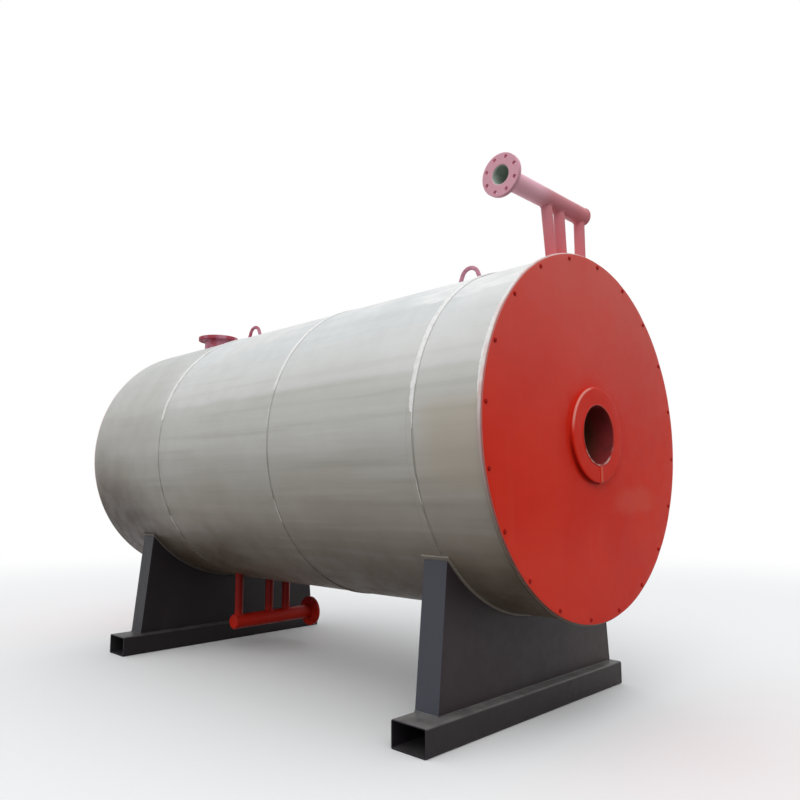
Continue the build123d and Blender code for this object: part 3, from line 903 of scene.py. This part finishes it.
across_joint = np.linspace(sleeve_radius + 0.004, port_ring_radius - 0.002, 20)
joint = points_at(joint_x, ring_low.y, axis_z - across_joint)
edge_joint = points_at(joint_x, np.linspace(ring_low.y + 0.004, ring_high.y, 8),
                       axis_z - port_ring_radius)
lip_path, lip_out = hoop((0, ring_low.y, axis_z), along_y, sleeve_radius + 0.0005)
toe_path, toe_out = hoop((0, ring_high.y, axis_z), along_y, port_ring_radius)
port_welds = mesh_of("port_welds", weld(joint, (0, -1, 0), 0.0045, 1, closed=False),
                     weld(edge_joint, (0, 0, -1), 0.006, 2, closed=False),
                     weld(lip_path, lip_out - along_y, 0.0030, 3),
                     weld(toe_path, toe_out - along_y, 0.0060, 4), sharp=80.0)
piece(port_welds, port_paint, "cover_paint")


# Coil: the oil tube wound into one long close helix, seen through the port and the flue.
# Linings: cast blocks behind each cover that carry the heat of the flame.
coil_low, coil_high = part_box("coil_wall")
coil_tube = 0.0635
rust, mill_scale = (0.20, 0.065, 0.03, 1), (0.055, 0.042, 0.038, 1)
castable = (0.42, 0.35, 0.26, 1)


def coil_tubes(name):
    """Helix of round tube: centre (R sin t, y0 + pitch t / 2 pi, R cos t), wall of radius r
    about it, with a pole at each end."""
    run = coil_high.y - coil_low.y - coil_tube
    windings = int(run / (coil_tube * 1.01))
    t = np.linspace(0, windings * 2 * pi, windings * 60)
    radius = (coil_high.x - coil_low.x) / 2 - coil_tube / 2
    path = on_casing(t, radius, coil_low.y + coil_tube / 2 + run * t / t[-1])
    tube = bead(path, points_at(np.sin(t), 0.0, np.cos(t)), coil_tube / 2, closed=False, flat=1.0)
    return mesh_of(name, tube, sharp=80)


coil_steel, tree, shader, place = new_finish("coil_steel", specular=0.4)
colour = mix(tree, ramp(tree, noise(tree, place, 9.0, 6.0), 0.4, 0.62), mill_scale, rust)
coated(tree, shader, colour, 0.75, noise(tree, place, 120.0, 6.0), 0.0015)
piece(coil_tubes("coil_tubes"), coil_steel, "coil_steel", "coil_wall")

lining_brick, tree, shader, place = new_finish("lining_brick", specular=0.2)
spots = use(tree, patches, {"Place": place, "Size": 6.0})
coated(tree, shader, mix(tree, spots["Mottle"], castable, soot), 0.9,
       noise(tree, place, 60.0, 8.0), 0.004)
for end in ("front", "rear"):
    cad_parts[f"{end}_lining"].data.materials.clear()
    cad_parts[f"{end}_lining"].data.materials.append(lining_brick)


# Oil headers: 108 mm pipe with a slip-on flange at one end and a welded cap at the other,
# on three risers whose mouths are cut to the pipe and to the casing. Faded red paint.
header_wall, flange_setback, cap_edge = 0.004, 0.005, 0.012
flange_bolts, bolt_circle, bolt_hole = 8, 0.095, 0.011
header_turns, along_x, off_pipe_line = 96, (1, 0, 0), (0.0, 1.0, 1.0)
chalk_mauve, shaded_header = (0.66, 0.27, 0.31, 1), (0.17, 0.009, 0.008, 1)
chalk_and_lit_pink, sunlit_pink = (0.78, 0.41, 0.50, 1), (0.93, 0.53, 0.63, 1)
bore_grey = (0.46, 0.54, 0.48, 1)


def drilled_plate(centre, axis, wall, bore, rim, holes, hole_circle, hole_radius, edge=0.002):
    """Round flange. Each hole has its own sector, where point (i, k) goes from the hole's edge
    to the sector's outline along the ray of outline point k; rim and bore are turned."""
    axis, first, second = square_to(axis)
    half, arc, side = pi / holes, 12, 6
    inner, outer = bore + edge, rim - edge
    sweep, out = np.linspace(-half, half, arc + 1), np.linspace(inner, outer, side + 1)
    bearing = np.concatenate([sweep[:-1], np.full(side, half), sweep[:0:-1], np.full(side, -half)])
    reach = np.concatenate([np.full(arc, inner), out[:-1], np.full(arc, outer), out[:0:-1]])
    outline = np.stack([reach * np.cos(bearing), reach * np.sin(bearing)], -1)
    ray = outline - [hole_circle, 0.0]
    ray /= np.linalg.norm(ray, axis=1, keepdims=True)
    mouth = [hole_circle, 0.0] + ray * (hole_radius + edge / 2)
    wallside = [hole_circle, 0.0] + ray * hole_radius
    rays = np.linspace(0, 1, 4)[:, None, None] * (outline - mouth)
    flat = np.concatenate([[wallside, wallside], mouth + rays])
    grids = []
    for number in range(holes):
        spin = 2 * half * (number + 0.5)
        turn = np.array([[cos(spin), -sin(spin)], [sin(spin), cos(spin)]])
        flat_here = flat @ turn.T
        for face, toward in ((0.0, -1), (-wall, 1)):
            depth = np.full(len(flat), face)
            depth[0], depth[1] = -wall / 2, face + toward * edge / 2
            rows = (centre + depth[:, None, None] * axis + flat_here[..., :1] * first
                    + flat_here[..., 1:] * second)
            grids.append(grid(rows))
    bend = np.linspace(0, pi / 2, 4)
    a = np.linspace(0, 2 * pi, holes * arc, endpoint=False)[None, :, None]
    spokes = np.cos(a) * first + np.sin(a) * second
    drop = edge * (1 - np.cos(bend))
    s = np.concatenate([-drop, -wall + drop[::-1]])
    for radius, sign in ((rim, 1), (bore, -1)):
        r = radius - sign * edge * (1 - np.sin(np.concatenate([bend, bend[::-1]])))
        grids.append(grid(centre + s[:, None, None] * axis + r[:, None, None] * spokes))
    return grids


def meeting(start, way, centre, axis, radius, side):
    """How far along each line start + t way it meets a round bar: the root, on that side, of
    |p + t w|^2 = radius^2, with p and w taken square to the bar's axis."""
    axis = np.asarray(axis, float)
    off = start - np.asarray(centre)
    p = off - (off @ axis)[:, None] * axis
    w = way - (way @ axis) * axis
    a, b, c = w @ w, p @ w, (p * p).sum(1) - radius ** 2
    return (-b + side * np.sqrt(np.maximum(b * b - a * c, 0))) / a


def riser(foot, head, radius, body, body_radius, pipe, pipe_radius, count=96):
    """Tube whose rulings run between two round bars, fish-mouthed at both ends. Gives the tube's
    grid, and the two mouths with the directions that they face, for their welds."""
    foot, head = np.asarray(foot, float), np.asarray(head, float)
    way = (head - foot) / np.linalg.norm(head - foot)
    ring, facing = hoop(foot, way, radius, count)
    low = meeting(ring, way, body, along_y, body_radius, 1)
    high = meeting(ring, way, pipe, along_x, pipe_radius, -1)
    t = np.linspace(0, 1, 14)[:, None]
    along = low + t * (high - low)
    along[0] -= 0.003
    along[-1] += 0.002
    rows = ring[None] + along[..., None] * way
    return grid(rows), (ring + low[:, None] * way, facing), (ring + high[:, None] * way, facing)


def oil_header(name, side, feet, heads, finish):
    """Pipe, flange, cap, risers and welds of one header; its flange faces side along X."""
    middle, half = measured(f"{name}_pipe")
    (_, y, z), pipe_radius = middle, half[2]
    mouth, back = middle[0] + side * half[0], middle[0] - side * half[0]
    flange_middle, flange_half = measured(f"{name}_flange")
    face, wall = flange_middle[0] + side * flange_half[0], 2 * flange_half[0]
    cap_middle, cap_half = measured(f"{name}_cap")
    tip = cap_middle[0] - side * cap_half[0]
    inner = pipe_radius - header_wall
    lip = 0.0012
    outline = softened([(mouth, inner), (mouth, pipe_radius), (back, pipe_radius), (back, inner)],
                       [lip, lip, 0.0002, 0.0002])
    centre = np.array((0.0, y, z))
    pipe = mesh_of(f"{name}_tube", turned(outline, centre, along_x, header_turns))
    piece(pipe, finish, "header_paint", f"{name}_pipe")

    bend = np.linspace(0, pi / 2, 8)
    dome = np.stack([tip + side * cap_edge * (1 - np.sin(bend)),
                     pipe_radius - cap_edge * (1 - np.cos(bend))], -1)
    crown_line = [(tip, share * pipe_radius) for share in (0.6, 0.3, 0.0)]
    dome = np.concatenate([[(back, 0.0), (back, pipe_radius)], dome, crown_line])
    cap = mesh_of(f"{name}_end_cap", turned(dome, centre, along_x, header_turns, closed=False))
    piece(cap, finish, "header_paint", f"{name}_cap")

    flange = drilled_plate(np.array((face, y, z)), (side, 0, 0), wall, pipe_radius + lap_room,
                           flange_half[2], flange_bolts, bolt_circle, bolt_hole)
    piece(mesh_of(f"{name}_drilled_flange", *flange), finish, "header_paint", f"{name}_flange")

    out = 1 if z > axis_z else -1
    beads = []
    for number, (foot_x, head_x) in enumerate(zip(feet, heads), start=1):
        node = f"{name}_riser_{number}"
        radius = measured(node)[1][1]
        foot = (foot_x, y, axis_z + out * (casing_radius - radius))
        tube, foot_mouth, head_mouth = riser(foot, (head_x, y, z), radius, axis_centre,
                                             casing_radius, centre, pipe_radius)
        piece(mesh_of(f"{node}_tube", tube), finish, "header_paint", node)
        beads.append(weld(foot_mouth[0], foot_mouth[1] + [0, 0, out], 0.0055, number))
        beads.append(weld(head_mouth[0], head_mouth[1] - [0, 0, out], 0.0050, number + 3))
    for at, size, seed in ((face - side * wall, 0.0065, 7), (back, 0.0042, 8),
                           (face - side * flange_setback, 0.0030, 9)):
        beads.append(weld(*hoop((at, y, z), along_x, pipe_radius), size, seed))
    piece(mesh_of(f"{name}_welds", *beads, sharp=80.0), finish, "header_paint")


def within_pipe(tree, place, name):
    """1 inside a header's bore and on the pipe's own end, 0 on its outside and on its cap."""
    middle, half = measured(f"{name}_pipe")
    cap = (measured(f"{name}_cap")[0][0], 0.0, 0.0)
    off_cap = ramp(tree, off_centre(tree, place, cap, (1.0, 0.0, 0.0)), 0.06, 0.08)
    off_line = off_centre(tree, place, tuple(middle), off_pipe_line)
    return times(tree, ramp(tree, off_line, half[2] - 0.0005, half[2] - 0.0009), off_cap)


top_paint, tree, shader, place, colour = red_enamel("top_header_paint", 2.15, 2.86, 1.0,
                                                    chalk_mauve)
# Chalked paler towards the flange end, with painted light there: the pipe is paler still, as if lit
# all round, its underside's shade painted out.
far_end = ramp(tree, coordinate(tree, place, "X"), -0.22, -0.42)
colour = laid(tree, colour, chalk_and_lit_pink, far_end, 0.95)
middle, half = measured("top_header_pipe")
on_pipe = ramp(tree, off_centre(tree, place, tuple(middle), off_pipe_line),
               half[2] + 0.0030, half[2] + 0.0005)
colour = laid(tree, colour, sunlit_pink, on_pipe, far_end, 0.85)
colour = laid(tree, colour, bore_grey, within_pipe(tree, place, "top_header"))
feed(tree, shader, {"Base Color": colour})

bottom_paint, tree, shader, place, colour = red_enamel("bottom_header_paint", 2.35, 2.75, 1.0,
                                                       specular=0.10)
# Painted shade: the bottom header is darker red higher up, towards the casing that it lies under.
under_casing_shade = ramp(tree, coordinate(tree, place, "Z"), 0.20, 0.36, 0.25, 0.85)
colour = laid(tree, colour, shaded_header, under_casing_shade)
colour = laid(tree, colour, soot, within_pipe(tree, place, "bottom_header"))
feed(tree, shader, {"Base Color": colour})

# The top header's first two risers lean: the places of their feet and heads across the boiler
leaning_feet, leaning_heads = [-0.184, -0.074], [-0.230, -0.097]
third = measured("top_header_riser_3")[0][0]
oil_header("top_header", -1, [*leaning_feet, third], [*leaning_heads, third], top_paint)
bottom_feet = [measured(f"bottom_header_riser_{number}")[0][0] for number in (1, 2, 3)]
oil_header("bottom_header", 1, bottom_feet, bottom_feet, bottom_paint)


# Flue stub: a short steel neck, its foot cut to the casing and welded there, under a drilled
# flange that the chimney is bolted to. Maroon primer, dusty and faded towards the front.
flue_bolts, flue_bolt_circle, flue_bolt_hole = 12, 0.156, 0.009
maroon, maroon_dust = (0.44, 0.050, 0.085, 1), (0.58, 0.22, 0.31, 1)
faded_mauve, primer_shade = (0.60, 0.27, 0.36, 1), (0.10, 0.05, 0.04, 1)
upright, stub_weld = (0, 0, 1), 0.006

primer, tree, shader, place = new_finish("maroon_primer", specular=0.3)
spots = use(tree, patches, {"Place": place, "Size": 9.0})
colour = mix(tree, spots["Clouds"], maroon, maroon_dust)
toward_front = ramp(tree, coordinate(tree, place, "Y"), 1.0, -1.0, 0.0, 0.85)
colour = laid(tree, colour, faded_mauve, toward_front)
colour = laid(tree, colour, primer_shade, spots["Mottle"], 0.3)
coated(tree, shader, colour, mottled(tree, spots, 0.5, 0.7), skin(tree, place), 0.0005)

flue_low, flue_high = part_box("flue_flange")
flange = drilled_plate(np.array((0.0, flue_y, flue_high.z)), upright, flue_high.z - flue_low.z,
                       neck_radius - neck_wall, (flue_high.x - flue_low.x) / 2,
                       flue_bolts, flue_bolt_circle, flue_bolt_hole)
piece(mesh_of("flue_drilled_flange", *flange), primer, "fitting_paint", "flue_flange")

tubes, mouths, climb = [], [], np.linspace(0, 1, 8)[:, None]
for radius in (neck_radius, neck_radius - neck_wall):
    ring, facing = hoop((0.0, flue_y, axis_z), upright, radius, 144)
    foot = meeting(ring, np.array(upright, float), axis_centre, along_y, casing_radius - 0.002, 1)
    heights = axis_z + foot + climb * (flue_low.z - axis_z - foot)
    tubes.append(points_at(ring[:, 0], ring[:, 1], heights))
    mouths.append((points_at(ring[:, 0], ring[:, 1], axis_z + foot), facing + upright))
neck = grid(np.concatenate([tubes[0], tubes[1][::-1]]), closed_rows=True)
piece(mesh_of("flue_neck_tube", neck), primer, "fitting_paint", "flue_neck")
under_flange = hoop((0.0, flue_y, flue_low.z), upright, neck_radius)
piece(mesh_of("flue_welds", weld(*mouths[0], stub_weld, 21), weld(*under_flange, stub_weld, 22),
              sharp=80.0), primer, "fitting_paint")


# Lifting eyes: 28 mm round steel bar bent over, one near each end, with both legs welded to
# the crown. They are in the flue stub's maroon primer.
eye_bar, eye_half, eye_bend, eye_splay = 0.014, 0.112, 0.070, radians(22.0)


def eye_path(y, foot_z):
    """Two straight legs that lean together, and the arc of the bend's radius between them."""
    arc_z = foot_z + eye_half / np.tan(eye_splay) - eye_bend / sin(eye_splay)
    a = np.linspace(pi - eye_splay, eye_splay, 40)
    arc = np.stack([y + eye_bend * np.cos(a), arc_z + eye_bend * np.sin(a)], -1)
    t = np.linspace(0, 1, 9)[:-1, None]
    leg = np.array([[y - eye_half, foot_z]]) * (1 - t) + arc[:1] * t
    other = np.array([[y + eye_half, foot_z]]) * (1 - t) + arc[-1:] * t
    line = np.concatenate([leg, arc, other[::-1]])
    return points_at(0.0, line[:, 0], line[:, 1])


for end in ("front", "rear"):
    y = measured(f"lifting_eye_{end}")[0][1]
    bar = bead(eye_path(y, crown - eye_bar), np.array([along_x], float), eye_bar, sides=24,
               closed=False, flat=1.0)
    piece(mesh_of(f"lifting_eye_{end}_bar", bar, sharp=60), primer, "fitting_paint",
          f"lifting_eye_{end}")
    feet = []
    for hand in (-1, 1):
        foot_y = y + hand * (eye_half - eye_bar * np.tan(eye_splay))
        path, facing = hoop((0.0, foot_y, crown), upright, eye_bar)
        path[:, 2] = axis_z + np.sqrt(casing_radius ** 2 - path[:, 0] ** 2)
        feet.append(weld(path, facing + upright, stub_weld, 31 + hand))
    piece(mesh_of(f"lifting_eye_{end}_welds", *feet, sharp=80.0), primer, "fitting_paint")


# Saddles: a box beam on the ground, two webs and two sloping ends welded on it, and a curved
# cradle plate that the casing rests in. Dark slate paint, dusty on what faces up, with light and
# shade painted in.
cradle_wall, beam_corner, beam_wall, plate_edge = 0.012, 0.013, 0.008, 0.0015
web_edge, top_share = 0.001, 0.772
slate, slate_worn = (0.030, 0.021, 0.024, 1), (0.044, 0.034, 0.039, 1)
slate_warm, dust_and_highlight = (0.064, 0.042, 0.041, 1), (0.19, 0.185, 0.18, 1)
lit_slate_blue, slate_shade_dark = (0.070, 0.072, 0.094, 1), (0.010, 0.008, 0.010, 1)
overspray = (0.32, 0.29, 0.25, 1)

saddle_paint, tree, shader, place = new_finish("saddle_paint", specular=0.25)
spots = use(tree, patches, {"Place": place, "Size": 3.0})
across, behind, above = (coordinate(tree, place, axis) for axis in "XYZ")
colour = mix(tree, times(tree, spots["Clouds"], 0.30), slate, slate_worn)
colour = laid(tree, colour, slate_warm, ramp(tree, across, 0.10, 0.75, 0.0, 0.55))
streaks = use(tree, runs, {"Place": place, "Stretch": (5.0, 5.0, 0.8)})["Runs"]
colour = laid(tree, colour, dust_and_highlight, streaks, 0.05)
# Painted light: faces that look along X, the sloping ends, are paler and bluer as if lit from the
# side.
normal = add(tree, "ShaderNodeNewGeometry").outputs["Normal"]
sideways = times(tree, coordinate(tree, normal, "X"), 0.0, "ABSOLUTE")
colour = laid(tree, colour, lit_slate_blue, ramp(tree, sideways, 0.80, 0.95), 0.85)
# Painted shade: the box beam is darker below its top.
beam_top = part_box("front_saddle_beam")[1].z
on_beam = ramp(tree, above, beam_top + 0.002, beam_top - 0.002, 0.0, 0.50)
colour = laid(tree, colour, slate_shade_dark, on_beam)
# Dust on what faces up; on the beam's rounded upper corners it is also a painted highlight.
settled = ramp(tree, noise(tree, place, 8.0, 4.0), 0.25, 0.65, 0.50, 0.95)
faces_up = ramp(tree, coordinate(tree, normal, "Z"), 0.25, 0.80)
colour = laid(tree, colour, dust_and_highlight, faces_up, settled)
cradle_under = casing_radius + cradle_wall
near_casing = ramp(tree, off_centre(tree, place, axis_centre), cradle_under + 0.0015,
                   cradle_under + 0.0005)
colour = laid(tree, colour, overspray, near_casing, 0.9)
# Painted shade: darker still inside the box beam's hollow.
for name in ("front_saddle", "rear_saddle"):
    middle, half = measured(f"{name}_beam")
    within = 1.0
    for where, axis in ((behind, 1), (above, 2)):
        off = times(tree, times(tree, where, middle[axis], "SUBTRACT"), 0.0, "ABSOLUTE")
        within = times(tree, ramp(tree, off, half[axis] - 0.25 * beam_wall,
                                  half[axis] - 0.75 * beam_wall), within)
    colour = laid(tree, colour, slate_shade_dark, within, 0.8)
# Painted shade: the rear saddle is darker than the front one.
colour = laid(tree, colour, slate_shade_dark, ramp(tree, behind, -0.5, 0.5, 0.0, 0.58))
coated(tree, shader, colour, mottled(tree, spots, 0.44, 0.50), skin(tree, place), 0.0003, 0.4)


def slab(front, back):
    """Closed plate between two grids of points of like size: a ring of both for each row, and
    at each end a row on their middle line that shuts it."""
    rings = np.concatenate([front, back[:, ::-1]], 1)
    middle = (front + back) / 2
    ends = np.concatenate([middle, middle[:, ::-1]], 1)
    return grid(np.concatenate([ends[:1], rings, ends[-1:]]))


def plate_piece(node, front, back, width=plate_edge, segments=3):
    """A plate that stands for a node, its edges broken with a small live bevel."""
    made = piece(mesh_of(f"{node}_plate", slab(front, back)), saddle_paint, "saddle_paint", node)
    bevel = made.modifiers.new("broken_edge", "BEVEL")
    bevel.width, bevel.segments, bevel.limit_method = width, segments, "ANGLE"
    bevel.angle_limit = radians(40)
    bevel.harden_normals = False


def rounded_box(half_across, half_high, corner, inset, steps=6):
    """Outline of a rounded rectangle, drawn in by an inset."""
    a = np.linspace(0, pi / 2, steps + 1)
    quarter = np.stack([np.cos(a), np.sin(a)], -1) * max(corner - inset, 0.0001)
    core = np.array([half_across - corner, half_high - corner])
    return np.concatenate([((quarter if s * t > 0 else quarter[::-1]) + core) * (s, t)
                           for s, t in ((1, 1), (-1, 1), (-1, -1), (1, -1))])


for name in ("front_saddle", "rear_saddle"):
    (mid_x, mid_y, _), (half_x, half_w, half_h) = measured(f"{name}_beam")
    rings = [(mid_x + hand * (half_x - short), rounded_box(half_w, half_h, beam_corner, inset))
             for hand, short, inset in ((-1, 0, plate_edge), (-1, plate_edge, 0),
                                        (1, plate_edge, 0), (1, 0, plate_edge))]
    rings += [(mid_x + hand * (half_x - short),
               rounded_box(half_w - beam_wall, half_h - beam_wall, beam_corner - beam_wall, inset))
              for hand, short, inset in ((1, 0, -plate_edge / 2), (1, plate_edge, 0),
                                         (-1, plate_edge, 0), (-1, 0, -plate_edge / 2))]
    rows = np.stack([points_at(x, mid_y + o[:, 0], half_h + o[:, 1]) for x, o in rings])
    piece(mesh_of(f"{name}_box_beam", grid(rows, closed_rows=True)), saddle_paint, "saddle_paint",
          f"{name}_beam")

    cradle_low, cradle_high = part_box(f"{name}_cradle")
    inner = casing_radius + lap_room
    outer = inner + cradle_wall
    half_across = (cradle_high.x - cradle_low.x) / 2
    reach = atan2(half_across, sqrt(outer ** 2 - half_across ** 2))
    sweep = np.linspace(-reach, reach, 97)[:, None]
    across = np.linspace(cradle_low.y, cradle_high.y, 5)[None, :]
    plate_piece(f"{name}_cradle", *(points_at(r * np.sin(sweep), across, axis_z - r * np.cos(sweep))
                                    for r in (outer, inner)))

    end_low, end_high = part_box(f"{name}_right_end")
    web_low, web_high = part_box(f"{name}_front_web")
    rear_low, rear_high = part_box(f"{name}_rear_web")
    base, foot_half, top = 2 * half_h, end_high.x, end_high.z
    seat = outer + lap_room
    foot_inner = web_high.x
    top_half = casing_radius * top_share
    slope = (foot_half - top_half) / (top - base)
    in_top = top
    for _ in range(6):
        in_top = axis_z - sqrt(seat ** 2 - (foot_inner - slope * (in_top - base)) ** 2)
    share = np.linspace(0, 1, 9)[:, None]
    u = np.linspace(-1, 1, 61)[None, :]
    top_x = u * (foot_inner - slope * (in_top - base))
    top_z = axis_z - np.sqrt(seat ** 2 - top_x ** 2)
    x = u * foot_inner * (1 - share) + top_x * share
    height = base + share * (top_z - base)
    for node, box_low, box_high in ((f"{name}_front_web", web_low, web_high),
                                    (f"{name}_rear_web", rear_low, rear_high)):
        plate_piece(node, points_at(x, box_low.y, height), points_at(x, box_high.y, height),
                    web_edge, 2)

    beads = []
    t = np.linspace(0, 1, 13)[:, None]
    depth = np.linspace(end_low.y, end_high.y, 5)[None, :]
    outside = foot_half + t * (top_half - foot_half), base + t * (top - base)
    within = foot_inner - slope * t * (in_top - base), base + t * (in_top - base)
    for hand, side in ((-1, "left"), (1, "right")):
        plate_piece(f"{name}_{side}_end", *(points_at(hand * xs, depth, zs)
                                            for xs, zs in (outside, within)))
        foot_line = points_at(hand * foot_half, np.linspace(end_low.y, end_high.y, 9), base)
        beads.append(weld(foot_line, (hand, 0, 1), 0.0050, 41 + hand, closed=False))
    seam_x = np.linspace(-foot_half + 0.004, foot_half - 0.004, 60)
    for y, facing in ((web_low.y, -1), (rear_high.y, 1)):
        beads.append(weld(points_at(seam_x, y, base), (0, facing, 1), 0.0045, 44, closed=False))
        beads.append(weld(points_at(top_x[0], y, top_z[0]), (0, facing, -1), 0.0045, 45,
                          closed=False))
    piece(mesh_of(f"{name}_welds", *beads, sharp=80.0), saddle_paint, "saddle_paint")
